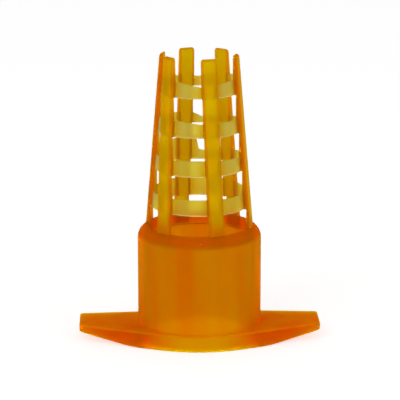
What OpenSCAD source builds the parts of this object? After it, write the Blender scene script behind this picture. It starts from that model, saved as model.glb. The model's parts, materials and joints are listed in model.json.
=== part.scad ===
// Queen cell cage: a small hanging cage for beekeeping, moulded in translucent amber plastic.
// It stands on its hanger with the narrow end up. The Z axis is the axis of the bore.

/* [Hanger] */
// Length of the hanger from wing tip to wing tip
hanger_len = 36; // [30:0.5:60]
// How far the hanger's round middle stands out past the collar
hanger_margin = 0.3; // [0.2:0.05:3]
// Radius of the bowed front edge, which runs straight from the bow to each wing tip
bow_r = 15; // [12:0.5:30]
// Depth of each wing at its blunt tip
wing_tip_depth = 6.1; // [4:0.1:12]
// How much further back a wing's back edge lies at its root than at its tip
wing_back_taper = 0.7; // [0:0.1:3]
// Thickness of the hanger under the collar
hanger_t = 2.5; // [1.5:0.1:4]
// Thickness of each wing at its tip
wing_tip_t = 1.1; // [0.6:0.1:1.4]
// Distance from the axis to where the underside starts to rise toward a wing tip
underside_flat = 10.2; // [4:0.1:12]

/* [Collar] */
// Radius of the bore that takes the cell cup
bore_r = 8.05; // [6:0.05:9.6]
// Wall of the collar
collar_wall = 1.15; // [0.8:0.05:2]
// Height of the collar's straight wall above the hanger
collar_h = 12.7; // [8:0.1:20]
// How far the stop inside the shoulder stands in from the bore
stop_step = 0.7; // [0.4:0.1:1.2]
// Height of the rounded shoulder
shoulder_h = 1.85; // [1.5:0.05:2.5]
// How far the shoulder's round comes in from the collar's outside, up to the fingers' feet
shoulder_in = 1.2; // [0.8:0.05:1.5]

/* [Fingers] */
// Angle of the first finger, from straight ahead (-Y) toward +X
finger_phase = 15; // [0:1:59]
// Width of a finger
finger_w = 2.3; // [1.4:0.05:3]
// Angle at which the fingers lean in
finger_lean = 4.7; // [2:0.05:6]
// Length of the free tips above the top ring
free_tip = 3.3; // [1:0.1:5]
// Radius on the outer edge of a tip
tip_round = 0.45; // [0.1:0.05:0.5]

/* [Rings] */
// Height of the windows between the shoulder and the lowest ring
first_window_h = 2.9; // [2:0.05:4]
// Height of the windows between one ring and the next
window_h = 3.2; // [2:0.05:4]
// Height of a ring
ring_h = 2.5; // [1.5:0.1:3.5]
// Thickness of a ring at its thin upper edge
ring_edge = 0.15; // [0.1:0.05:0.3]
// How far the rings' outer faces lie inside the fingers' outer faces
ring_recess = 0.7; // [0.6:0.05:0.9]

/* [Hidden] */
$fn = 96;

finger_count = 6;
ring_count = 4;
cut = 0.5; // how far a cutting solid runs past the face it cuts
arc_steps = 5; // flats that stand for the round on a tip

collar_r = bore_r + collar_wall;
collar_top = hanger_t + collar_h;
shoulder_top = collar_top + shoulder_h;
foot_r = collar_r - shoulder_in; // where the fingers' outer faces meet the shoulder
stop_r = bore_r - stop_step;
wing_root = collar_r + hanger_margin; // from the axis to where a wing starts
hanger_depth = 2 * wing_root; // from the front of the bow to the back of the round middle
// Radius of the shoulder's round, which is tangent to the collar's wall
shoulder_r = (shoulder_in * shoulder_in + shoulder_h * shoulder_h) / (2 * shoulder_in);
ring_pitch = ring_h + window_h;
tip_z = shoulder_top + first_window_h + ring_count * ring_pitch - window_h + free_tip;

amber = "#C87A00";
deep_amber = "#D27812";
mustard = "#C29A00";
straw = "#C4A94A";

// Outer radius of the fingers at a height
function finger_r(z) = foot_r - tan(finger_lean) * (z - shoulder_top);

// Outer radius of the rings at a height
function land_r(z) = finger_r(z) - ring_recess;

// Ring 1 is the lowest. Its ledge faces down, and the wall thins from there to its upper edge.
function ledge_z(ring) = shoulder_top + first_window_h + (ring - 1) * ring_pitch;
function edge_z(ring) = ledge_z(ring) + ring_h;

// Inner radius from one ledge to the next. Step 0 is the window under the lowest ring.
function step_r(ring) = ring == 0 ? stop_r : land_r(edge_z(ring)) - ring_edge;

// Points of an arc, from one angle to another, both in degrees
function arc(centre, r, from, to, steps) = [
    for (i = [0:steps]) let (a = from + (to - from) * i / steps) centre + r * [cos(a), sin(a)]
];

// The round middle follows the collar. The wings run from the bowed front edge to a nearly straight back.
module hanger_plan() {
    root_back = wing_tip_depth / 2 + wing_back_taper;
    circle(r = wing_root, $fn = 180);
    hull() {
        square([hanger_len, wing_tip_depth], center = true);
        translate([-wing_root, 0]) square([2 * wing_root, root_back]);
        intersection() {
            translate([0, bow_r - wing_root]) circle(r = bow_r, $fn = 360);
            translate([-hanger_len / 2, -wing_root]) square([hanger_len, wing_root]);
        }
    }
}

// Side view of the hanger: a level top, and an underside that rises toward both tips
module hanger_side() {
    half_len = hanger_len / 2;
    tip_under = hanger_t - wing_tip_t;
    polygon([
        [-half_len, tip_under], [-underside_flat, 0], [underside_flat, 0], [half_len, tip_under],
        [half_len, hanger_t], [-half_len, hanger_t],
    ]);
}

// The part of the hanger that lies between two distances along X
module hanger_slice(from, to) {
    difference() {
        intersection() {
            linear_extrude(height = hanger_t) hanger_plan();
            rotate([90, 0, 0]) linear_extrude(height = hanger_depth, center = true) hanger_side();
            translate([from, -hanger_depth, -cut]) cube([to - from, 2 * hanger_depth, hanger_t + 2 * cut]);
        }
        translate([0, 0, -cut]) cylinder(r = bore_r, h = hanger_t + 2 * cut);
    }
}

module base_plate() {
    color(deep_amber) hanger_slice(-wing_root, wing_root);
}

module wing_left() {
    color(deep_amber) hanger_slice(-hanger_len / 2, -wing_root);
}

module wing_right() {
    color(deep_amber) hanger_slice(wing_root, hanger_len / 2);
}

module collar() {
    color(amber)
    translate([0, 0, hanger_t])
    difference() {
        cylinder(r = collar_r, h = collar_h);
        translate([0, 0, -cut]) cylinder(r = bore_r, h = collar_h + 2 * cut);
    }
}

// The rounded top of the collar. Its inner edge stands in from the bore and stops the cell cup.
module shoulder() {
    color(amber)
    translate([0, 0, collar_top])
    difference() {
        rotate_extrude()
        intersection() {
            union() {
                square([foot_r, shoulder_h]);
                translate([collar_r - shoulder_r, 0]) circle(r = shoulder_r);
            }
            square([collar_r, shoulder_h]);
        }
        translate([0, 0, -cut]) cylinder(r = stop_r, h = shoulder_h + 2 * cut);
    }
}

// Section of a finger. Its inner face follows the steps of the inside, and seats on each ring.
module finger_section() {
    tip_r = finger_r(tip_z);
    tip_round = min(tip_round, tip_r - step_r(ring_count));
    polygon(concat(
        [[step_r(0), shoulder_top], [foot_r, shoulder_top]],
        arc([tip_r - tip_round, tip_z - tip_round], tip_round, 0, 90, arc_steps),
        [[step_r(ring_count), tip_z]],
        [for (ring = [ring_count:-1:1]) each [
            [step_r(ring), edge_z(ring)],
            [land_r(edge_z(ring)), edge_z(ring)],
            [land_r(ledge_z(ring)), ledge_z(ring)],
            [step_r(ring - 1), ledge_z(ring)],
        ]]
    ));
}

module finger(number) {
    color(mustard)
    rotate([0, 0, finger_phase + (number - 1) * 360 / finger_count])
    intersection() {
        rotate_extrude() finger_section();
        translate([-finger_w / 2, -collar_r, 0]) cube([finger_w, collar_r, tip_z + cut]);
    }
}

module ring(number) {
    z = ledge_z(number);
    color(straw)
    difference() {
        translate([0, 0, z]) cylinder(r1 = land_r(z), r2 = land_r(z + ring_h), h = ring_h);
        translate([0, 0, z - cut]) cylinder(r = step_r(number), h = ring_h + 2 * cut);
    }
}

base_plate();
wing_left();
wing_right();
collar();
shoulder();
for (number = [1:finger_count]) finger(number);
for (number = [1:ring_count]) ring(number);
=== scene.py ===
"""A queen cell cage in translucent amber plastic, standing on its hanger with the narrow end up.

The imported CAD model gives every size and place. Each sub-assembly here is a class: the collar with its
shoulder, the hanger plate that carries it in one mesh, the six fingers and the four rings. The last two
classes are the studio and the camera. All lengths are in metres.
"""

from __future__ import annotations

import json
import logging
import math
from dataclasses import dataclass
from enum import Enum

import bmesh
import bpy
import numpy as np
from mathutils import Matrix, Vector


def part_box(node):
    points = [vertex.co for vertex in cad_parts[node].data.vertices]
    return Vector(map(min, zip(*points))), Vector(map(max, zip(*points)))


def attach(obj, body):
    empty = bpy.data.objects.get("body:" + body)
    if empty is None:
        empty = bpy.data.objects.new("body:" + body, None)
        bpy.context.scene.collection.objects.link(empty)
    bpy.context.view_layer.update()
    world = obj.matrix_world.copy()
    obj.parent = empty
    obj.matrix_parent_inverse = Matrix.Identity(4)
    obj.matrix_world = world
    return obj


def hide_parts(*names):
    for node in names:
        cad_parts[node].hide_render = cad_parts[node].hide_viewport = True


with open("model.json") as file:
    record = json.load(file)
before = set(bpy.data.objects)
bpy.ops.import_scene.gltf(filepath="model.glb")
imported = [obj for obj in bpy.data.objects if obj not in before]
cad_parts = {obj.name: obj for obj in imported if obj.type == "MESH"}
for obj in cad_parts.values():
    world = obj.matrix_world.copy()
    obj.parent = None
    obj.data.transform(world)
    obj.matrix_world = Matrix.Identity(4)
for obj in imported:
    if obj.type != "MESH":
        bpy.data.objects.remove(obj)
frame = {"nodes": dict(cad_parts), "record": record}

MM = 0.001
NEAR = 0.01 * MM  # corners that differ by less than this count as level
BODY = "root"
SAME_PLACE = 1e-8  # corners nearer than this are one
ROUND_START = 0.4 * MM  # the round on a finger's tip is deeper than this
MIX_FACTOR, MIX_FIRST, MIX_SECOND, MIX_RESULT = 0, 6, 7, 2  # a colour mix node's sockets
log = logging.getLogger("queen_cage")

Point = tuple[float, float]
Place = tuple[float, float, float]
Colour = tuple[float, float, float]
Stops = tuple[tuple[float, Colour], ...]
Socket = bpy.types.NodeSocket


# ---------------------------------------------------------------------------------------------
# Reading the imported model
# ---------------------------------------------------------------------------------------------


def node_points(node: str) -> np.ndarray:
    """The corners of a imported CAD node's mesh, one row each.

    Args:
        node: The CAD node's name.

    Returns:
        An array of x, y, z rows in the row frame.
    """
    mesh = frame["nodes"][node].data
    points = np.empty(len(mesh.vertices) * 3)
    mesh.vertices.foreach_get("co", points)
    return points.reshape(-1, 3)


def radii_at(node: str, height: float) -> Point:
    """How near the Z axis a node comes at a height, and how far out it reaches there.

    Args:
        node: The CAD node's name.
        height: The height at which its corners are read.

    Returns:
        The inner and the outer radius.
    """
    points = node_points(node)
    level = points[np.abs(points[:, 2] - height) < NEAR]
    radii = np.hypot(level[:, 0], level[:, 1])
    return float(radii.min()), float(radii.max())


@dataclass(frozen=True)
class RingSize:
    """One ring: its two heights, its inner radius, and its outer radius at each height."""

    ledge_z: float
    edge_z: float
    inner_r: float
    ledge_r: float
    edge_r: float


@dataclass(frozen=True)
class CageSize:
    """Every size of the cage that the looks need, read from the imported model."""

    half_len: float
    middle_r: float
    wing_root: float
    tip_half_depth: float
    root_front: float
    root_back: float
    plate_top: float
    tip_under: float
    underside_flat: float
    bore_r: float
    collar_r: float
    collar_top: float
    stop_r: float
    shoulder_top: float
    foot_r: float
    tip_r: float
    tip_z: float
    finger_half_w: float
    finger_phase: float
    finger_count: int
    rings: tuple[RingSize, ...]

    @classmethod
    def measured(cls) -> "CageSize":
        """Reads the sizes from the CAD nodes' meshes and the record's bore.

        Returns:
            The sizes, in metres and radians.
        """
        low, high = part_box("wing_right")
        wing = node_points("wing_right")
        tip = wing[wing[:, 0] > high.x - NEAR]
        root = wing[wing[:, 0] < low.x + NEAR]
        bore = next(m for m in frame["record"]["mounts"] if m["kind"] == "bore")
        shoulder_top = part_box("shoulder")[1].z
        finger = node_points("finger_1")
        phase = math.atan2(finger[:, 0].mean(), -finger[:, 1].mean())
        across = finger[:, 0] * math.cos(phase) + finger[:, 1] * math.sin(phase)
        radii = np.hypot(finger[:, 0], finger[:, 1])
        tip_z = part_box("finger_1")[1].z
        stop_r, foot_r = radii_at("finger_1", shoulder_top)
        # The outer face ends where the round on the tip starts
        heights = {z for z in finger[:, 2].tolist() if z < tip_z - ROUND_START}
        face_z = max(heights)
        face_r = radii[np.abs(finger[:, 2] - face_z) < NEAR].max()
        lean = (foot_r - face_r) / (face_z - shoulder_top)
        return cls(
            half_len=high.x,
            middle_r=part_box("base_plate")[1].y,
            wing_root=low.x,
            tip_half_depth=float(np.abs(tip[:, 1]).max()),
            root_front=-float(root[:, 1].min()),
            root_back=float(root[:, 1].max()),
            plate_top=high.z,
            tip_under=float(tip[:, 2].min()),
            underside_flat=float(wing[wing[:, 2] < NEAR][:, 0].max()),
            bore_r=bore["dims"]["r_mm"] * MM,
            collar_r=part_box("collar")[1].x,
            collar_top=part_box("collar")[1].z,
            stop_r=stop_r,
            shoulder_top=shoulder_top,
            foot_r=foot_r,
            tip_r=foot_r - lean * (tip_z - shoulder_top),
            tip_z=tip_z,
            finger_half_w=float(np.abs(across).max()),
            finger_phase=phase,
            finger_count=sum(name.startswith("finger_") for name in frame["nodes"]),
            rings=tuple(cls._ring(name) for name in sorted(frame["nodes"]) if name.startswith("ring_")),
        )

    @staticmethod
    def _ring(node: str) -> RingSize:
        """Reads one ring's sizes.

        Args:
            node: The ring's CAD node.

        Returns:
            Its heights and radii.
        """
        low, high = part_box(node)
        inner_r, ledge_r = radii_at(node, low.z)
        return RingSize(low.z, high.z, inner_r, ledge_r, radii_at(node, high.z)[1])

    def finger_r(self, z: float) -> float:
        """The fingers' outer radius at a height."""
        share = (z - self.shoulder_top) / (self.tip_z - self.shoulder_top)
        return self.foot_r + share * (self.tip_r - self.foot_r)


# ---------------------------------------------------------------------------------------------
# Finishes
# ---------------------------------------------------------------------------------------------


class Tone(Enum):
    """Where on the cage a finish goes. Each value is the record's material slot."""

    BODY = "collar_amber"
    FINGER = "finger_mustard"
    RING = "ring_straw"


@dataclass(frozen=True)
class Band:
    """Painted shade: the deeper colours of a plate's edge and underside, which show below a height, as if
    less light reached them.

    Each stop is a share of the reach, which is measured from the axis, and a colour. The soft part
    blurs the height.
    """

    stops: Stops
    below: float
    reach: float
    soft: float = 0.2 * MM


@dataclass(frozen=True)
class Tint:
    """A second colour that a stored share brings in, from one share to another."""

    attribute: str
    colour: Colour
    start: float
    end: float


class Paint:
    """A material's node tree in the making, with the few nodes that its colours need."""

    def __init__(self, material: bpy.types.Material) -> None:
        """Remembers the material's tree, and where each point of the surface is.

        Args:
            material: The material, with its nodes in use.
        """
        self.tree = material.node_tree
        self.add, self.link = self.tree.nodes.new, self.tree.links.new
        self.place = self.add("ShaderNodeTexCoord").outputs["Object"]

    def noise(self, place: Socket, scale: float, detail: float) -> bpy.types.ShaderNode:
        """A noise texture.

        Args:
            place: The coordinates that it reads.
            scale: How fine it is.
            detail: How many finer layers it has.

        Returns:
            Its node.
        """
        cloud = self.add("ShaderNodeTexNoise")
        cloud.inputs["Scale"].default_value = scale
        cloud.inputs["Detail"].default_value = detail
        self.link(place, cloud.inputs["Vector"])
        return cloud

    def between(self, value: Socket, start: float, end: float, kind: str = "SMOOTHSTEP") -> Socket:
        """How far a value has come from a start to an end.

        Args:
            value: The value.
            start: Where the share is 0.
            end: Where the share is 1.
            kind: SMOOTHSTEP or LINEAR.

        Returns:
            The share.
        """
        share = self.add("ShaderNodeMapRange")
        share.interpolation_type = kind
        share.inputs["From Min"].default_value = start
        share.inputs["From Max"].default_value = end
        self.link(value, share.inputs["Value"])
        return share.outputs["Result"]

    def ramp(self, factor: Socket, stops: Stops) -> Socket:
        """A colour ramp on a factor.

        Args:
            factor: The factor.
            stops: Pairs of a factor and a colour, in order.

        Returns:
            The ramp's colour.
        """
        ramp = self.add("ShaderNodeValToRGB")
        marks = ramp.color_ramp.elements
        while len(marks) < len(stops):
            marks.new(1.0)
        for mark, (position, colour) in zip(marks, stops):
            mark.position = position
            mark.color = (*colour, 1.0)
        self.link(factor, ramp.inputs["Fac"])
        return ramp.outputs["Color"]

    def mixed(self, factor: Socket, first: Socket, second: Socket | Colour) -> Socket:
        """Mixes two colours by a factor.

        Args:
            factor: How much of the second colour shows.
            first: The first colour.
            second: The second colour, as a socket or as three numbers.

        Returns:
            The mixed colour.
        """
        mix = self.add("ShaderNodeMix")
        mix.data_type = "RGBA"
        self.link(factor, mix.inputs[MIX_FACTOR])
        self.link(first, mix.inputs[MIX_FIRST])
        if isinstance(second, Socket):
            self.link(second, mix.inputs[MIX_SECOND])
        else:
            mix.inputs[MIX_SECOND].default_value = (*second, 1.0)
        return mix.outputs[MIX_RESULT]


@dataclass(frozen=True)
class AmberPlastic:
    """Moulded translucent plastic, one tone of it.

    Light scatters inside it and also passes through, so long ways through it look deeper. Soft flow
    marks run up the moulding and cloud the colour, and a fine grain breaks the gloss. A band may paint
    shade on a plate's edge and underside. Each tint is laid over the one before it, and some tints paint
    shade, backlight or a highlight; a few specks of dust may lie over them all.
    """

    tone: Tone
    colour: Colour
    deep: Colour
    see_through: float
    absorb: float
    tinge: Colour
    roughness: float
    ior: float = 1.05
    specular: float = 0.02
    glow_depth: float = 2.0 * MM
    glow_spread: Colour = (1.0, 0.45, 0.08)
    flow_scale: float = 260.0
    flow_stretch: float = 0.10
    flow_detail: float = 2.0
    flow_roughness: float = 0.45
    flow_deep: float = 0.36
    flow_clear: float = 0.60
    grain_scale: float = 2600.0
    grain_detail: float = 2.0
    grain_strength: float = 0.12
    grain_height: float = 0.02 * MM
    smoother: float = 0.06
    rougher: float = 0.10
    # Painted shade for a plate's edge and underside, if any
    band: Band | None = None
    tints: tuple[Tint, ...] = ()
    speck_scale: float = 0.0
    speck_start: float = 0.84
    speck_end: float = 0.88
    dust: Colour = (0.92, 0.66, 0.12)

    def material(self) -> bpy.types.Material:
        """Builds the material's node tree.

        Returns:
            The finished material.
        """
        mat = bpy.data.materials.new(self.tone.name.lower())
        mat.use_nodes = True
        paint = Paint(mat)
        shader, result = (mat.node_tree.nodes[name] for name in ("Principled BSDF", "Material Output"))
        tint = self.flow_marks(paint)
        # Painted shade on the plate's edge and underside
        if self.band:
            tint = self.plate_edge(paint, tint, self.band)
        for extra in self.tints:
            stored = paint.add("ShaderNodeAttribute")
            stored.attribute_name = extra.attribute
            share = paint.between(stored.outputs["Fac"], extra.start, extra.end)
            tint = paint.mixed(share, tint, extra.colour)
        if self.speck_scale:
            spots = paint.noise(paint.place, self.speck_scale, 0.0).outputs["Fac"]
            share = paint.between(spots, self.speck_start, self.speck_end, "LINEAR")
            tint = paint.mixed(share, tint, self.dust)
        paint.link(tint, shader.inputs["Base Color"])
        self.grain(paint, shader)

        shader.inputs["IOR"].default_value = self.ior
        shader.inputs["Specular IOR Level"].default_value = self.specular
        shader.inputs["Subsurface Weight"].default_value = 1.0
        shader.inputs["Subsurface Radius"].default_value = self.glow_spread
        shader.inputs["Subsurface Scale"].default_value = self.glow_depth
        shader.inputs["Transmission Weight"].default_value = self.see_through
        tinge = paint.add("ShaderNodeVolumeAbsorption")
        tinge.inputs["Color"].default_value = (*self.tinge, 1.0)
        tinge.inputs["Density"].default_value = self.absorb
        paint.link(tinge.outputs["Volume"], result.inputs["Volume"])
        return mat

    def flow_marks(self, paint: Paint) -> Socket:
        """Clouds the colour with soft marks that run up the moulding.

        Args:
            paint: The material in the making.

        Returns:
            The clouded colour.
        """
        stretch = paint.add("ShaderNodeVectorMath")
        stretch.operation = "MULTIPLY"
        stretch.inputs[1].default_value = (1.0, 1.0, self.flow_stretch)
        paint.link(paint.place, stretch.inputs[0])
        cloud = paint.noise(stretch.outputs["Vector"], self.flow_scale, self.flow_detail)
        cloud.inputs["Roughness"].default_value = self.flow_roughness
        stops = ((self.flow_deep, self.deep), (self.flow_clear, self.colour))
        return paint.ramp(cloud.outputs["Fac"], stops)

    @staticmethod
    def plate_edge(paint: Paint, tint: Socket, band: Band) -> Socket:
        """Paints shade on the plate's edge and underside where the plate is solid, away from the bore.

        Args:
            paint: The material in the making.
            tint: The colour elsewhere.
            band: The painted shade's colours, and where they show.

        Returns:
            The colour with the painted shade on the edge.
        """
        apart, flat = paint.add("ShaderNodeSeparateXYZ"), paint.add("ShaderNodeCombineXYZ")
        length = paint.add("ShaderNodeVectorMath")
        length.operation = "LENGTH"
        paint.link(paint.place, apart.inputs["Vector"])
        paint.link(apart.outputs["X"], flat.inputs["X"])
        paint.link(apart.outputs["Y"], flat.inputs["Y"])
        paint.link(flat.outputs["Vector"], length.inputs[0])
        share = paint.between(length.outputs["Value"], 0.0, band.reach, "LINEAR")
        low = paint.between(apart.outputs["Z"], band.below, band.below - band.soft)
        return paint.mixed(low, tint, paint.ramp(share, band.stops))

    def grain(self, paint: Paint, shader: bpy.types.ShaderNode) -> None:
        """Adds the fine grain to the roughness and the surface.

        Args:
            paint: The material in the making.
            shader: The shader that takes both.
        """
        grain = paint.noise(paint.place, self.grain_scale, self.grain_detail).outputs["Fac"]
        gloss, bump = paint.add("ShaderNodeMapRange"), paint.add("ShaderNodeBump")
        gloss.inputs["To Min"].default_value = self.roughness - self.smoother
        gloss.inputs["To Max"].default_value = self.roughness + self.rougher
        paint.link(grain, gloss.inputs["Value"])
        paint.link(gloss.outputs["Result"], shader.inputs["Roughness"])
        bump.inputs["Strength"].default_value = self.grain_strength
        bump.inputs["Distance"].default_value = self.grain_height
        paint.link(grain, bump.inputs["Height"])
        paint.link(bump.outputs["Normal"], shader.inputs["Normal"])


AMBER = {
    Tone.BODY: AmberPlastic(
        Tone.BODY,
        colour=(0.76, 0.60, 0.0),
        deep=(0.78, 0.44, 0.0),
        see_through=0.7,
        absorb=1300.0,
        tinge=(1.0, 0.45, 0.0),
        roughness=0.7,
        # Painted shade: deeper orange on the plate's edge faces and underside, deepest partway out along
        # the wings
        band=Band(
            (
                (0.505, (0.76, 0.60, 0.0)),
                (0.53, (0.70, 0.68, 0.0)),
                (0.60, (0.70, 0.28, 0.0)),
                (0.78, (0.70, 0.26, 0.0)),
                (0.98, (0.75, 0.45, 0.0)),
            ),
            below=2.35 * MM,
            reach=18.2 * MM,
        ),
        tints=(Tint("shoulder", (0.78, 0.34, 0.0), 0.0, 0.5),),
        speck_scale=1500.0,
    ),
    Tone.FINGER: AmberPlastic(
        Tone.FINGER,
        colour=(0.76, 0.64, 0.0),
        deep=(0.76, 0.54, 0.0),
        see_through=0.6,
        absorb=1600.0,
        tinge=(1.0, 0.5, 0.0),
        roughness=0.5,
        tints=(
            # Painted backlight: the inner faces turn yellower, as if light shone through them from behind
            Tint("inside", (0.69, 0.73, 0.0), 0.75, 0.95),
            # Painted shade: deeper orange along the long edges, the tip and the foot
            Tint("across", (0.76, 0.37, 0.0), 0.62, 0.95),
        ),
    ),
    Tone.RING: AmberPlastic(
        Tone.RING,
        colour=(0.76, 0.71, 0.16),
        deep=(0.76, 0.65, 0.10),
        see_through=0.6,
        absorb=3000.0,
        tinge=(1.0, 0.95, 0.2),
        roughness=0.35,
        ior=1.1,
        specular=0.4,
        glow_depth=1.0 * MM,
        tints=(
            Tint("height", (0.78, 0.65, 0.06), 0.75, 0.1),
            Tint("across", (0.76, 0.53, 0.01), 0.15, 1.0),
            # Painted highlight: a pale bright line along each ring's lower lip
            Tint("lip", (0.98, 0.88, 0.35), 0.3, 0.9),
        ),
    ),
}


# ---------------------------------------------------------------------------------------------
# Helpers for meshes and node trees
# ---------------------------------------------------------------------------------------------


def arc(centre: Point, radius: float, start: float, end: float, steps: int) -> list[Point]:
    """Points of a circular arc.

    Args:
        centre: The arc's centre.
        radius: Its radius.
        start: The first point's angle, in degrees.
        end: The last point's angle, in degrees.
        steps: How many flats stand for the arc.

    Returns:
        The points in order, both ends included.
    """
    angles = np.radians(np.linspace(start, end, steps + 1))
    return [(centre[0] + radius * math.cos(a), centre[1] + radius * math.sin(a)) for a in angles]


def solid_from_rows(
    name: str, runs: list[np.ndarray], closed: bool, sharp_deg: float = 40.0
) -> bpy.types.Object:
    """Skins loops of points into closed solids, all in one mesh.

    Args:
        name: The new object's name.
        runs: For each solid, an array of loops by points by x, y, z. Every loop closes on itself.
        closed: True where the last loop joins the first. Otherwise both end loops are capped.
        sharp_deg: Edges that turn more than this stay crisp.

    Returns:
        The new object, linked to the scene, with its faces pointing outward.
    """
    work = bmesh.new()
    for rows in runs:
        count, size = rows.shape[:2]
        verts = [[work.verts.new(point) for point in loop] for loop in rows]
        for i in range(count if closed else count - 1):
            here, there = verts[i], verts[(i + 1) % count]
            for j in range(size):
                k = (j + 1) % size
                work.faces.new((here[j], there[j], there[k], here[k]))
        if not closed:
            work.faces.new(verts[0])
            work.faces.new(verts[-1])
    bmesh.ops.remove_doubles(work, verts=work.verts, dist=SAME_PLACE)
    bmesh.ops.recalc_face_normals(work, faces=work.faces)
    mesh = bpy.data.meshes.new(name)
    work.to_mesh(mesh)
    work.free()
    mesh.shade_smooth()
    mesh.set_sharp_from_angle(angle=math.radians(sharp_deg))
    piece = bpy.data.objects.new(name, mesh)
    bpy.context.collection.objects.link(piece)
    return piece


def blend_min(first: np.ndarray, second: np.ndarray, width: float) -> np.ndarray:
    """The smaller of two curves, with a soft turn of the given width where they cross."""
    share = np.clip(0.5 + 0.5 * (second - first) / width, 0.0, 1.0)
    return second + (first - second) * share - width * share * (1 - share)


def swept(section: list[Point], angles: np.ndarray) -> np.ndarray:
    """Copies a closed section to each angle round the Z axis.

    Args:
        section: Radius and height of each of its points.
        angles: The angles from -Y toward +X, in radians.

    Returns:
        Rows for solid_from_rows.
    """
    radius, height = np.array(section).T
    x = np.outer(np.sin(angles), radius)
    y = np.outer(-np.cos(angles), radius)
    return np.stack([x, y, np.tile(height, (len(angles), 1))], axis=-1)


def hand_over(piece: bpy.types.Object, tone: Tone, nodes: list[str]) -> None:
    """Dresses a finished piece and ties it to the frame.

    Args:
        piece: The finished piece.
        tone: Its finish.
        nodes: The CAD nodes that it stands for.
    """
    if not piece.data.materials:
        piece.data.materials.append(dressed(tone))
    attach(piece, BODY)
    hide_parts(*nodes)
    log.info("%s: %d faces, stands for %s", piece.name, len(piece.data.polygons), ", ".join(nodes))


def dressed(tone: Tone) -> bpy.types.Material:
    """The material of a tone, made once."""
    return bpy.data.materials.get(tone.name.lower()) or AMBER[tone].material()


class TreeMaker:
    """A geometry node tree in the making, which takes a geometry, named sizes and a finish."""

    def __init__(self, name: str, inputs: dict[str, str]) -> None:
        """Starts the tree.

        Args:
            name: The tree's name.
            inputs: The kind of each named input between the geometry and the finish.
        """
        self.tree = bpy.data.node_groups.new(name, "GeometryNodeTree")
        face = self.tree.interface
        for label, kind in {"Geometry": "Geometry", **inputs, "Finish": "Material"}.items():
            face.new_socket(label, in_out="INPUT", socket_type=f"NodeSocket{kind}")
        face.new_socket("Geometry", in_out="OUTPUT", socket_type="NodeSocketGeometry")
        self.add, self.link = self.tree.nodes.new, self.tree.links.new
        self.given = self.add("NodeGroupInput").outputs

    def maths(self, operation: str, first: Socket | float, second: Socket | float = 0.0) -> Socket:
        """One math node, fed by sockets or numbers.

        Args:
            operation: The node's operation.
            first: Its first input.
            second: Its second input.

        Returns:
            The node's result.
        """
        node = self.add("ShaderNodeMath")
        node.operation = operation
        for slot, value in enumerate((first, second)):
            if isinstance(value, Socket):
                self.link(value, node.inputs[slot])
            else:
                node.inputs[slot].default_value = value
        return node.outputs["Value"]

    def stored(self, name: str, kind: str) -> Socket:
        """A number that the points carry.

        Args:
            name: The number's name.
            kind: INT or FLOAT.

        Returns:
            The number.
        """
        node = self.add("GeometryNodeInputNamedAttribute")
        node.data_type = kind
        node.inputs["Name"].default_value = name
        return node.outputs["Attribute"]

    def place(self) -> tuple[Socket, bpy.types.NodeOutputs]:
        """The points' places.

        Returns:
            Each place as one vector, and the outputs that hold its X, Y and Z.
        """
        where, apart = self.add("GeometryNodeInputPosition"), self.add("ShaderNodeSeparateXYZ")
        self.link(where.outputs["Position"], apart.inputs["Vector"])
        return where.outputs["Position"], apart.outputs

    def share(self, z: Socket, low: str, high: str) -> Socket:
        """How far up a height lies between two of the tree's named heights, from 0 to 1."""
        span = self.maths("SUBTRACT", self.given[high], self.given[low])
        return self.maths("DIVIDE", self.maths("SUBTRACT", z, self.given[low]), span)

    def finish(self, geometry: Socket) -> bpy.types.NodeTree:
        """Makes every instance real, dresses the result and sends it out.

        Args:
            geometry: What the tree has made.

        Returns:
            The finished tree.
        """
        real, dress = self.add("GeometryNodeRealizeInstances"), self.add("GeometryNodeSetMaterial")
        self.link(geometry, real.inputs["Geometry"])
        self.link(real.outputs["Geometry"], dress.inputs["Geometry"])
        self.link(self.given["Finish"], dress.inputs["Material"])
        self.link(dress.outputs["Geometry"], self.add("NodeGroupOutput").inputs["Geometry"])
        return self.tree


def keep_result(piece: bpy.types.Object, tree: bpy.types.NodeTree, values: dict[str, object]) -> None:
    """Runs a geometry node tree on a piece and keeps what it makes as the piece's plain mesh.

    Args:
        piece: The piece, whose mesh is the tree's input.
        tree: The geometry node tree.
        values: A value for each of the tree's named inputs.
    """
    modifier = piece.modifiers.new(tree.name, "NODES")
    modifier.node_group = tree
    for item in tree.interface.items_tree:
        if item.item_type == "SOCKET" and item.in_out == "INPUT" and item.name in values:
            modifier[item.identifier] = values[item.name]
    piece.update_tag()
    bpy.context.view_layer.update()
    plain = bpy.data.meshes.new_from_object(piece.evaluated_get(bpy.context.evaluated_depsgraph_get()))
    piece.modifiers.remove(modifier)
    old = piece.data
    piece.data = plain
    bpy.data.meshes.remove(old)
    plain.name = piece.name


# ---------------------------------------------------------------------------------------------
# The collar and its shoulder
# ---------------------------------------------------------------------------------------------


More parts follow.
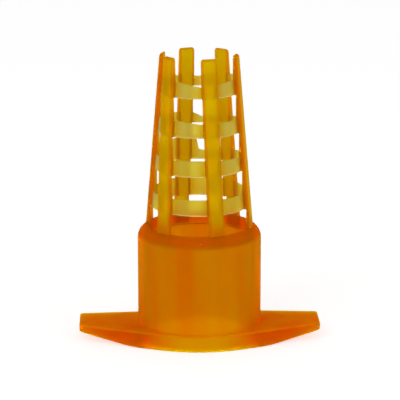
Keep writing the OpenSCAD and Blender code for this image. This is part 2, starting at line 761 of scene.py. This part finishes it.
@dataclass
class Collar:
    """The straight wall round the bore, and the rounded shoulder that carries the fingers."""

    size: CageSize
    foot_fillet: float = 0.10 * MM
    lip: float = 0.12 * MM
    fillet_steps: int = 3
    round_steps: int = 14
    wall_rows: int = 9

    def profile(self) -> list[Point]:
        """The collar's section, from its foot, over the shoulder, and past the stop down the bore.

        Returns:
            The radius and height of each point, outside first.
        """
        s = self.size
        foot = (s.collar_r + self.foot_fillet, s.plate_top + self.foot_fillet)
        rise, run = s.shoulder_top - s.collar_top, s.collar_r - s.foot_r
        radius = (rise**2 + run**2) / (2 * run)
        round_end = math.degrees(math.asin(rise / radius))
        lip = (s.stop_r + self.lip, s.shoulder_top - self.lip)
        return [
            *arc(foot, self.foot_fillet, 270.0, 180.0, self.fillet_steps),
            *[(s.collar_r, float(z)) for z in np.linspace(foot[1], s.collar_top, self.wall_rows)[1:-1]],
            *arc((s.collar_r - radius, s.collar_top), radius, 0.0, round_end, self.round_steps),
            *arc(lip, self.lip, 90.0, 180.0, self.fillet_steps),
            (s.stop_r, s.collar_top + self.lip / 2),
            (s.stop_r + self.lip / 2, s.collar_top),
            (s.bore_r, s.collar_top),
            *[(s.bore_r, float(z)) for z in np.linspace(s.collar_top, s.plate_top, self.wall_rows)[1:]],
        ]


# ---------------------------------------------------------------------------------------------
# The hanger
# ---------------------------------------------------------------------------------------------


@dataclass
class HangerPlate:
    """The lens-shaped plate with a blunt wing at each end, and the collar that rises from its middle.

    The edge is first traced in many fine steps, and then taken at even steps along it.
    """

    size: CageSize
    edge_round: float = 0.16 * MM
    corner_round: float = 0.9 * MM
    root_fillet: float = 1.2 * MM
    blend_len: float = 3.0 * MM
    traced: int = 20000
    around: int = 420
    face_rows: int = 13
    least_facing: float = 0.05

    def outline(self) -> np.ndarray:
        """Points of the plate's edge seen from above, evenly spaced along it.

        Returns:
            An array of x, y rows, once round.
        """
        s = self.size
        angles = np.linspace(0.0, 2 * math.pi, self.traced, endpoint=False)
        cos, sin = np.abs(np.cos(angles)), np.sin(angles)
        tip = (s.half_len, -s.tip_half_depth)
        front_far, front_dir = self.edge_line(tip, (s.wing_root, -s.root_front))
        back_far, back_dir = self.edge_line((s.half_len, s.tip_half_depth), (s.wing_root, s.root_back))
        # The bow is tangent to both straight front edges and touches the round middle in front
        bow_r = (front_far + front_dir[1] * s.middle_r) / (1 + front_dir[1])
        centre_y = bow_r - s.middle_r
        bow = centre_y * sin + np.sqrt(bow_r**2 - (centre_y * cos) ** 2)
        reach = s.half_len / np.maximum(cos, 1e-6)
        for far, (nx, ny) in ((front_far, front_dir), (back_far, back_dir)):
            facing = nx * cos + ny * sin
            line = np.where(facing > self.least_facing, far / np.maximum(facing, self.least_facing), 1.0)
            reach = blend_min(reach, line, self.corner_round)
        # The bow ends where it touches the straight edges
        front = (sin < 0) & (cos * (-bow_r * front_dir[1] - centre_y) < -sin * bow_r * front_dir[0])
        reach = np.where(front, np.minimum(reach, bow), reach)
        filleted = -blend_min(-reach, np.full(len(reach), -s.middle_r), self.root_fillet)
        reach = np.where(sin > 0, filleted, np.maximum(reach, s.middle_r))
        points = np.stack([reach * np.cos(angles), reach * sin], axis=1)
        steps = np.hypot(*np.diff(points, axis=0, append=points[:1]).T)
        along = np.concatenate([[0.0], np.cumsum(steps)])
        even = np.linspace(0.0, along[-1], self.around, endpoint=False)
        looped = np.vstack([points, points[:1]])
        return np.stack([np.interp(even, along, looped[:, axis]) for axis in (0, 1)], axis=1)

    @staticmethod
    def edge_line(tip: Point, root: Point) -> tuple[float, Point]:
        """The straight edge of the right wing between its tip and its root.

        Args:
            tip: The edge's end at the tip.
            root: Its end at the root.

        Returns:
            The line's distance from the axis, and its outward direction.
        """
        along = Vector((root[0] - tip[0], root[1] - tip[1])).normalized()
        outward = Vector((abs(along.y), math.copysign(abs(along.x), tip[1])))
        return outward.dot(Vector(tip)), (outward.x, outward.y)

    def underside(self, x: np.ndarray) -> np.ndarray:
        """Height of the underside: level in the middle, then rising straight to each tip.

        Args:
            x: Distances along the plate.

        Returns:
            The height at each of them.
        """
        s = self.size
        slope = s.tip_under / (s.half_len - s.underside_flat)
        out = np.abs(x) - s.underside_flat
        half = self.blend_len / 2
        bend = np.clip((out + half) / self.blend_len, 0.0, 1.0)
        return slope * np.where(out > half, out, bend**2 * half)

    def build(self) -> bpy.types.Object:
        """Makes the plate and the collar as one section swept once round the bore.

        Returns:
            The finished piece.
        """
        s = self.size
        edge = self.outline()
        angle = np.arctan2(edge[:, 1], edge[:, 0])
        outward = np.stack([np.cos(angle), np.sin(angle)], axis=1)
        run = np.hypot(*edge.T) - s.bore_r
        collar = Collar(s).profile()
        inner = collar[0][0] - s.bore_r
        r = self.edge_round
        across = np.linspace(0.0, 1.0, self.face_rows)
        turns = np.radians((60.0, 30.0, 0.0))

        def level(reach: np.ndarray, height: float) -> np.ndarray:
            """A loop at one height, whose distances are from the bore's wall."""
            flat = outward * (s.bore_r + reach[:, None])
            return np.column_stack([flat, np.full(len(flat), height)])

        def below(reach: np.ndarray, lift: float) -> np.ndarray:
            """A loop that follows the underside, a little above it."""
            flat = outward * (s.bore_r + reach[:, None])
            return np.column_stack([flat, self.underside(flat[:, 0]) + lift])

        # The loops run up the bore to the stop, over the shoulder, down the collar's outside, out over the
        # plate's top, round its edge, back along its underside, and up into the bore
        on_wall = np.zeros(len(run))
        rows = [level(on_wall + radius - s.bore_r, height) for radius, height in collar[::-1]]
        rows += [level((run - r - inner) * share + inner, s.plate_top) for share in across[1:]]
        rows += [level(run - r + r * math.cos(a), s.plate_top - r * (1 - math.sin(a))) for a in turns]
        rows += [below(run - r + r * math.cos(a), r * (1 - math.sin(a))) for a in turns[::-1]]
        rows += [below((run - 2 * r) * share + r, 0.0) for share in across[::-1]]
        rows += [below(on_wall + r * (1 - math.cos(a)), r * (1 - math.sin(a))) for a in turns]
        piece = solid_from_rows("hanger_and_collar", [np.array(rows).transpose(1, 0, 2)], closed=True)
        risen = [(v.co.z - s.collar_top) / (s.shoulder_top - s.collar_top) for v in piece.data.vertices]
        piece.data.attributes.new("shoulder", "FLOAT", "POINT").data.foreach_set("value", risen)
        hand_over(piece, Tone.BODY, ["base_plate", "wing_left", "wing_right", "collar", "shoulder"])
        return piece


# ---------------------------------------------------------------------------------------------
# The fingers
# ---------------------------------------------------------------------------------------------


@dataclass(frozen=True)
class Sway:
    """How far one soft finger stands round the axis from its true place, at its foot and its tip."""

    foot_deg: float
    tip_deg: float


@dataclass
class Fingers:
    """Six upright fingers that lean in, with free tips above the top ring."""

    size: CageSize
    sway: tuple[Sway, ...] = (
        Sway(3.0, -2.4),
        Sway(1.4, 1.4),
        Sway(0.4, 6.0),
        Sway(4.4, 3.4),
        Sway(1.4, 5.0),
        Sway(0.6, -9.5),
    )
    corner: float = 0.14 * MM
    tip_round: float = 0.45 * MM
    tip_side: float = 0.35 * MM
    root_depth: float = 1.5 * MM
    foot_blend: float = 3.0 * MM
    # These shape the edge share near the foot and the tip, which carries painted shade
    foot_share: float = 0.95
    foot_fade: float = 0.33
    tip_fade: float = 0.4
    step_soft: float = 0.04 * MM
    face_steps: int = 6
    corner_steps: int = 3
    tip_degrees: tuple[float, ...] = (18.0, 36.0, 54.0, 72.0, 90.0)

    def inner_steps(self) -> list[Point]:
        """The steps of a finger's inner face, with each as two near heights.

        Returns:
            Heights and inner radii, upward.
        """
        s = self.size
        steps = [(s.shoulder_top - self.root_depth, s.stop_r)]
        for ring in s.rings:
            steps += [
                (ring.ledge_z, steps[-1][1]),
                (ring.ledge_z + self.step_soft, ring.inner_r),
                (ring.edge_z, ring.inner_r),
            ]
        return steps

    def inner_r(self, z: float) -> float:
        """The fingers' inner radius at a height."""
        heights, radii = zip(*self.inner_steps())
        return float(np.interp(z, heights, radii))

    def angle_at(self, number: int, z: float) -> float:
        """Where a finger stands round the axis at a height.

        Args:
            number: The finger's number, from 0. The one after the last is the first again.
            z: The height.

        Returns:
            Its angle from -Y toward +X, in radians.
        """
        s = self.size
        way = self.sway[number % s.finger_count]
        risen = (z - s.shoulder_top) / (s.tip_z - s.shoulder_top)
        swing = way.foot_deg + (way.tip_deg - way.foot_deg) * risen
        return s.finger_phase + number * 2 * math.pi / s.finger_count + math.radians(swing)

    def heights(self) -> list[float]:
        """Every height that gets a loop.

        Returns:
            The steps and some heights between them, and then the round on the tip.
        """
        s = self.size
        marks = [z for z, _ in self.inner_steps()] + [s.tip_z - self.tip_round]
        marks += [a + (b - a) * share for a, b in zip(marks, marks[1:]) for share in (0.33, 0.67)]
        tip = [s.tip_z - self.tip_round * (1 - math.sin(math.radians(d))) for d in self.tip_degrees]
        return sorted({round(z, 8) for z in marks}) + tip

    def loop(self, z: float) -> list[Place]:
        """One level loop round a finger that faces -Y.

        Args:
            z: Its height.

        Returns:
            The loop's points.
        """
        s = self.size
        inner, outer = self.inner_r(z), s.finger_r(z)
        half = s.finger_half_w
        into_tip = max(0.0, z - (s.tip_z - self.tip_round)) / self.tip_round
        drop = 1 - math.sqrt(max(0.0, 1 - into_tip**2))
        outer -= drop * self.tip_round
        half -= drop * self.tip_side
        corner = min(self.corner, (outer - inner) / 2.5)
        flat: list[Point] = []
        for cx, cr, start in ((1, 1, 0.0), (-1, 1, 90.0), (-1, -1, 180.0), (1, -1, 270.0)):
            centre = (cx * (half - corner), (outer if cr > 0 else inner) - cr * corner)
            flat += arc(centre, corner, start, start + 90.0, self.corner_steps)
            if start in (0.0, 180.0):
                sweep = np.linspace(cx * (half - corner), -cx * (half - corner), self.face_steps + 1)[1:-1]
                flat += [(float(x), outer if cr > 0 else inner) for x in sweep]
        return [(x, -math.sqrt(max(r * r - x * x, 0.0)), z) for x, r in flat]

    def depth_share(self, point: Vector) -> float:
        """How far in a point on the first finger lies. The share carries a painted backlight on the inner
        faces.

        Args:
            point: The point.

        Returns:
            0 on the outer face, and 1 on the inner face.
        """
        inner, outer = self.inner_r(point.z), self.size.finger_r(point.z)
        return (outer - math.hypot(point.x, point.y)) / (outer - inner)

    def edge_share(self, point: Vector) -> float:
        """How near a point on the first finger is to a long edge, the tip or the foot. The share carries
        painted shade.

        Args:
            point: The point.

        Returns:
            0 in the middle of a face, and about 1 at an edge, the tip or the foot.
        """
        s = self.size
        near_tip = 1.0 - self.tip_fade * (s.tip_z - point.z) / self.tip_round
        near_foot = self.foot_share - self.foot_fade * (point.z - s.shoulder_top) / self.foot_blend
        return max(abs(point.x) / s.finger_half_w, near_tip, near_foot)

    def spread(self) -> bpy.types.NodeTree:
        """The node tree that sets copies of one finger round the axis.

        Returns:
            A geometry node tree with named inputs for the count, the angles, the heights and the finish.
        """
        angles = ("First Angle", "Foot Height", "Tip Height", *self.sway_inputs())
        make = TreeMaker("finger_spread", {"Count": "Int", **dict.fromkeys(angles, "Float")})
        add, link, maths, given = make.add, make.link, make.maths, make.given
        points = add("GeometryNodePoints")
        link(given["Count"], points.inputs["Count"])
        index = add("GeometryNodeInputIndex").outputs["Index"]
        step = maths("DIVIDE", 2 * math.pi, given["Count"])
        spin = add("ShaderNodeCombineXYZ")
        link(maths("ADD", maths("MULTIPLY", index, step), given["First Angle"]), spin.inputs["Z"])
        number = add("GeometryNodeStoreNamedAttribute")
        number.data_type = "INT"
        number.inputs["Name"].default_value = "finger_number"
        link(points.outputs[0], number.inputs["Geometry"])
        link(index, number.inputs["Value"])
        copies = add("GeometryNodeInstanceOnPoints")
        link(number.outputs["Geometry"], copies.inputs["Points"])
        link(given["Geometry"], copies.inputs["Instance"])
        link(spin.outputs["Vector"], copies.inputs["Rotation"])
        real = add("GeometryNodeRealizeInstances")
        link(copies.outputs["Instances"], real.inputs["Geometry"])
        # Each finger then leans a little round the axis, by its own angles at the foot and the tip
        where, apart = make.place()
        foot, tip = (self.own_sway(make, end) for end in ("Foot", "Tip"))
        risen = make.share(apart["Z"], "Foot Height", "Tip Height")
        rotate = add("ShaderNodeVectorRotate")
        rotate.rotation_type = "Z_AXIS"
        link(where, rotate.inputs["Vector"])
        gained = maths("MULTIPLY", maths("SUBTRACT", tip, foot), risen)
        link(maths("ADD", foot, gained), rotate.inputs["Angle"])
        move = add("GeometryNodeSetPosition")
        link(real.outputs["Geometry"], move.inputs["Geometry"])
        link(rotate.outputs["Vector"], move.inputs["Position"])
        return make.finish(move.outputs["Geometry"])

    def own_sway(self, make: TreeMaker, end: str) -> Socket:
        """Picks the sway of the finger that a point is on.

        Args:
            make: The tree in the making.
            end: Foot or Tip.

        Returns:
            The angle there.
        """
        pick = make.add("GeometryNodeIndexSwitch")
        pick.data_type = "FLOAT"
        while len(pick.index_switch_items) < self.size.finger_count:
            pick.index_switch_items.new()
        make.link(make.stored("finger_number", "INT"), pick.inputs["Index"])
        for n in range(self.size.finger_count):
            make.link(make.given[f"{end} Sway {n + 1}"], pick.inputs[str(n)])
        return pick.outputs["Output"]

    def sway_inputs(self) -> dict[str, float]:
        """The tree's sway inputs.

        Returns:
            The angle of each, in radians, by its name.
        """
        feet = {f"Foot Sway {n}": math.radians(w.foot_deg) for n, w in enumerate(self.sway, start=1)}
        tips = {f"Tip Sway {n}": math.radians(w.tip_deg) for n, w in enumerate(self.sway, start=1)}
        return feet | tips

    def build(self) -> bpy.types.Object:
        """Makes one finger, spreads it round the axis, and keeps the result as a plain mesh.

        Returns:
            The finished piece, all six fingers.
        """
        s = self.size
        rows = np.array([self.loop(z) for z in self.heights()])
        piece = solid_from_rows("fingers", [rows], closed=False)
        # The across share carries painted shade at the edges, tip and foot, and the inside share a painted
        # backlight on the inner faces
        for name, share in (("across", self.edge_share), ("inside", self.depth_share)):
            stored = piece.data.attributes.new(name, "FLOAT", "POINT")
            stored.data.foreach_set("value", [share(v.co) for v in piece.data.vertices])
        keep_result(
            piece,
            self.spread(),
            {
                "Count": s.finger_count,
                "First Angle": s.finger_phase,
                "Foot Height": s.shoulder_top,
                "Tip Height": s.tip_z,
                **self.sway_inputs(),
                "Finish": dressed(Tone.FINGER),
            },
        )
        hand_over(piece, Tone.FINGER, [f"finger_{n + 1}" for n in range(s.finger_count)])
        return piece


# ---------------------------------------------------------------------------------------------
# The rings
# ---------------------------------------------------------------------------------------------


@dataclass(frozen=True)
class UpperEdge:
    """How one ring's thin upper edge runs.

    The drops are pairs of an angle, in degrees from -Y toward +X, and how far the edge lies below
    its full height there, in millimetres. Below zero, a film of flash stands above it. The edge
    wanders a little about them.
    """

    drops: tuple[Point, ...]
    wander: float
    seed: float


@dataclass
class Rings:
    """Four thin rings between the fingers. Each has a crisp ledge below and a thin uneven edge above.

    A ring is six arcs, one from each finger to the next, whose ends run into the fingers.
    """

    size: CageSize
    fingers: Fingers
    steps: int = 48
    bury: float = 0.35 * MM
    near_finger: float = 1.8 * MM
    lip: float = 0.14 * MM
    edge_soft: float = 0.04 * MM
    inner_soft: float = 0.03 * MM
    climb: tuple[float, ...] = (0.0, 0.05, 0.2, 0.4, 0.6, 0.8, 1.0)
    wander_scale: float = 2.2
    wander_detail: float = 3.0
    edges: tuple[UpperEdge, ...] = (
        UpperEdge(
            ((0.0, 0.05), (90.0, 0.1), (140.0, -0.45), (228.0, -0.45), (270.0, 0.1)),
            0.10 * MM,
            1.0,
        ),
        UpperEdge(
            (
                (0.0, 0.0), (60.0, 0.2), (114.0, 0.3), (170.0, 1.1), (179.0, 0.9),
                (181.5, -0.5), (185.0, -1.0), (226.0, -1.0), (240.0, 0.0), (300.0, 0.2),
            ),
            0.12 * MM,
            2.0,
        ),
        UpperEdge(
            (
                (0.0, 0.4), (60.0, 0.3), (119.0, 0.8), (171.0, 1.6),
                (188.0, 0.8), (260.0, 0.3), (326.0, 0.0),
            ),
            0.12 * MM,
            3.0,
        ),
        UpperEdge(
            (
                (1.0, 0.75), (50.0, 0.2), (117.0, 0.1), (180.0, 0.95),
                (240.0, 0.4), (290.0, 0.1), (326.0, 0.1),
            ),
            0.12 * MM,
            4.0,
        ),
    )

    def section(self, ring: RingSize) -> list[Point]:
        """The closed section of a ring: a crisp lower ledge, and a wall that thins upward.

        Args:
            ring: The ring's sizes.

        Returns:
            The radius and height of each point.
        """
        height = ring.edge_z - ring.ledge_z
        lean = (ring.edge_r - ring.ledge_r) / height
        rises = [self.lip + (height - self.lip - self.edge_soft) * share for share in self.climb]
        outside = [(ring.ledge_r + lean * rise, ring.ledge_z + rise) for rise in rises]
        return [
            (ring.ledge_r - self.lip, ring.ledge_z),
            *outside,
            ((ring.edge_r + ring.inner_r) / 2, ring.edge_z),
            *[(ring.inner_r, z) for _, z in outside[:0:-1]],
            (ring.inner_r, ring.ledge_z + self.inner_soft),
            (ring.inner_r + self.inner_soft, ring.ledge_z),
        ]

    def stands(self, ring: RingSize) -> list[float]:
        """Where each finger stands round the axis at a ring, and then the first one again."""
        middle = (ring.ledge_z + ring.edge_z) / 2
        return [self.fingers.angle_at(n, middle) for n in range(self.size.finger_count + 1)]

    def arcs(self, ring: RingSize) -> list[np.ndarray]:
        """The arcs of a ring, one from each finger to the next.

        Args:
            ring: The ring's sizes.

        Returns:
            Rows for solid_from_rows.
        """
        inset = math.asin((self.size.finger_half_w - self.bury) / ring.ledge_r)
        stands = self.stands(ring)
        spans = [np.linspace(a + inset, b - inset, self.steps) for a, b in zip(stands, stands[1:])]
        return [swept(self.section(ring), span) for span in spans]

    def feather(self) -> bpy.types.NodeTree:
        """The node tree that pulls a ring's upper edge down unevenly.

        Returns:
            A geometry node tree with named inputs for the heights, the wander and its seed.
        """
        sizes = ("Ledge Height", "Edge Height", "Wander", "Seed")
        make = TreeMaker("feathered_edge", dict.fromkeys(sizes, "Float"))
        add, link, maths, given = make.add, make.link, make.maths, make.given
        _, apart = make.place()
        flat, direction = add("ShaderNodeCombineXYZ"), add("ShaderNodeVectorMath")
        direction.operation = "NORMALIZE"
        link(apart["X"], flat.inputs["X"])
        link(apart["Y"], flat.inputs["Y"])
        link(flat.outputs["Vector"], direction.inputs[0])
        noise = add("ShaderNodeTexNoise")
        noise.noise_dimensions = "4D"
        noise.inputs["Scale"].default_value = self.wander_scale
        noise.inputs["Detail"].default_value = self.wander_detail
        link(direction.outputs["Vector"], noise.inputs["Vector"])
        link(given["Seed"], noise.inputs["W"])
        wander = maths("MULTIPLY", noise.outputs["Fac"], given["Wander"])
        drop = maths("ADD", make.stored("drop", "FLOAT"), wander)
        risen = maths("MAXIMUM", make.share(apart["Z"], "Ledge Height", "Edge Height"), 0.0)
        shift, move = add("ShaderNodeCombineXYZ"), add("GeometryNodeSetPosition")
        link(maths("MULTIPLY", maths("MULTIPLY", drop, risen), -1.0), shift.inputs["Z"])
        link(given["Geometry"], move.inputs["Geometry"])
        link(shift.outputs["Vector"], move.inputs["Offset"])
        return make.finish(move.outputs["Geometry"])

    def mark(self, piece: bpy.types.Object, ring: RingSize, edge: UpperEdge) -> None:
        """Stores on each of a ring's points how far the upper edge drops there, and three shares.

        The shares say how near the point is to a finger, to the lower lip, which carries a painted
        highlight, and to the cage's top.

        Args:
            piece: The ring.
            ring: Its sizes.
            edge: How its upper edge runs.
        """
        points = np.empty(len(piece.data.vertices) * 3)
        piece.data.vertices.foreach_get("co", points)
        x, y, z = points.reshape(-1, 3).T
        angles, drops = np.array(edge.drops).T
        around = np.arctan2(x, -y)
        apart = np.min([np.abs(np.angle(np.exp(1j * (around - a)))) for a in self.stands(ring)], axis=0)
        gap = apart * ring.ledge_r - self.size.finger_half_w
        values = {
            "drop": np.interp(np.degrees(around) % 360.0, angles, drops, period=360.0) * MM,
            "across": 1.0 - np.clip(gap / self.near_finger, 0.0, 1.0),
            # The lip share carries a painted highlight
            "lip": (z < ring.ledge_z + self.lip + NEAR).astype(float),
            "height": (z - self.size.shoulder_top) / (self.size.tip_z - self.size.shoulder_top),
        }
        for name, value in values.items():
            piece.data.attributes.new(name, "FLOAT", "POINT").data.foreach_set("value", value)

    def build(self) -> list[bpy.types.Object]:
        """Makes the four rings.

        Returns:
            The finished pieces, lowest first.
        """
        tree = self.feather()
        pieces = []
        for number, (ring, edge) in enumerate(zip(self.size.rings, self.edges), start=1):
            piece = solid_from_rows(f"ring_band_{number}", self.arcs(ring), closed=False)
            self.mark(piece, ring, edge)
            values = {
                "Ledge Height": ring.ledge_z,
                "Edge Height": ring.edge_z,
                "Wander": edge.wander,
                "Seed": edge.seed,
                "Finish": dressed(Tone.RING),
            }
            keep_result(piece, tree, values)
            hand_over(piece, Tone.RING, [f"ring_{number}"])
            pieces.append(piece)
        return pieces


# ---------------------------------------------------------------------------------------------
# The studio and the camera
# ---------------------------------------------------------------------------------------------


@dataclass(frozen=True)
class SoftLamp:
    """One square soft lamp: its name, its place, its side and its power in watts."""

    name: str
    place: Place
    width: float
    power: float


@dataclass
class Studio:
    """A pale floor and soft light from a bright room."""

    floor_half: float = 3.0
    floor_grey: float = 0.60
    floor_roughness: float = 0.9
    floor_glow: float = 0.65
    world_strength: float = 0.50
    white: Colour = (1.0, 1.0, 1.0)
    aim: Place = (0.0, 0.0, 20.0 * MM)
    lamps: tuple[SoftLamp, ...] = (
        SoftLamp("key", (-0.25, -0.35, 0.35), 0.30, 0.5),
        SoftLamp("fill", (0.35, -0.25, 0.20), 0.30, 0.2),
    )

    def build(self) -> None:
        """Makes the room light, the floor and the lamps."""
        self.room()
        self.floor()
        for lamp in self.lamps:
            self.hang(lamp)

    def room(self) -> None:
        """Lights the scene evenly with white."""
        world = bpy.data.worlds.new("white_room")
        bpy.context.scene.world = world
        world.use_nodes = True
        sky = world.node_tree.nodes["Background"]
        sky.inputs["Color"].default_value = (*self.white, 1.0)
        sky.inputs["Strength"].default_value = self.world_strength

    def floor(self) -> None:
        """Lays the floor under the hanger."""
        h = self.floor_half
        mesh = bpy.data.meshes.new("floor")
        mesh.from_pydata([(-h, -h, 0.0), (h, -h, 0.0), (h, h, 0.0), (-h, h, 0.0)], [], [(0, 1, 2, 3)])
        floor = bpy.data.objects.new("floor", mesh)
        bpy.context.collection.objects.link(floor)
        mat = bpy.data.materials.new("pale_paper")
        mat.use_nodes = True
        shader = mat.node_tree.nodes["Principled BSDF"]
        shader.inputs["Base Color"].default_value = (*[self.floor_grey] * 3, 1.0)
        shader.inputs["Roughness"].default_value = self.floor_roughness
        shader.inputs["Emission Color"].default_value = (*self.white, 1.0)
        shader.inputs["Emission Strength"].default_value = self.floor_glow
        mesh.materials.append(mat)

    def hang(self, lamp: SoftLamp) -> None:
        """Hangs a lamp so that it faces the cage.

        Args:
            lamp: The lamp.
        """
        light = bpy.data.lights.new(lamp.name, "AREA")
        light.size = lamp.width
        light.energy = lamp.power
        hung = bpy.data.objects.new(lamp.name, light)
        hung.location = lamp.place
        hung.rotation_euler = (Vector(self.aim) - Vector(lamp.place)).to_track_quat("-Z", "Y").to_euler()
        bpy.context.collection.objects.link(hung)


@dataclass
class Viewpoint:
    """The camera: a long lens, a little above the cage and almost straight in front of it."""

    azimuth_deg: float = -1.7
    elevation_deg: float = 13.7
    roll_deg: float = -0.02
    distance: float = 0.3137
    aim_height: float = 0.020775
    aim_right: float = 0.00010
    lens_mm: float = 189.95
    sensor_mm: float = 36.0
    nearest: float = 20.0 * MM

    def build(self) -> None:
        """Makes the camera and hands it to the scene."""
        a, e = math.radians(self.azimuth_deg), math.radians(self.elevation_deg)
        back = Vector((math.sin(a) * math.cos(e), -math.cos(a) * math.cos(e), math.sin(e)))
        aim = Vector((self.aim_right * math.cos(a), self.aim_right * math.sin(a), self.aim_height))
        data = bpy.data.cameras.new("camera")
        data.lens = self.lens_mm
        data.sensor_width = self.sensor_mm
        data.clip_start = self.nearest
        camera = bpy.data.objects.new("camera", data)
        camera.location = aim + back * self.distance
        camera.rotation_euler = (-back).to_track_quat("-Z", "Y").to_matrix().to_4x4().to_euler()
        camera.rotation_euler.rotate_axis("Z", math.radians(self.roll_deg))
        bpy.context.collection.objects.link(camera)
        bpy.context.scene.camera = camera


def main() -> None:
    logging.basicConfig(level=logging.INFO, format="%(name)s: %(message)s")
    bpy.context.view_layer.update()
    size = CageSize.measured()
    Viewpoint().build()
    Studio().build()
    HangerPlate(size).build()
    fingers = Fingers(size)
    fingers.build()
    Rings(size, fingers).build()
    bpy.context.scene.view_settings.view_transform = "Standard"
    bpy.context.view_layer.update()


if __name__ == "__main__":
    main()
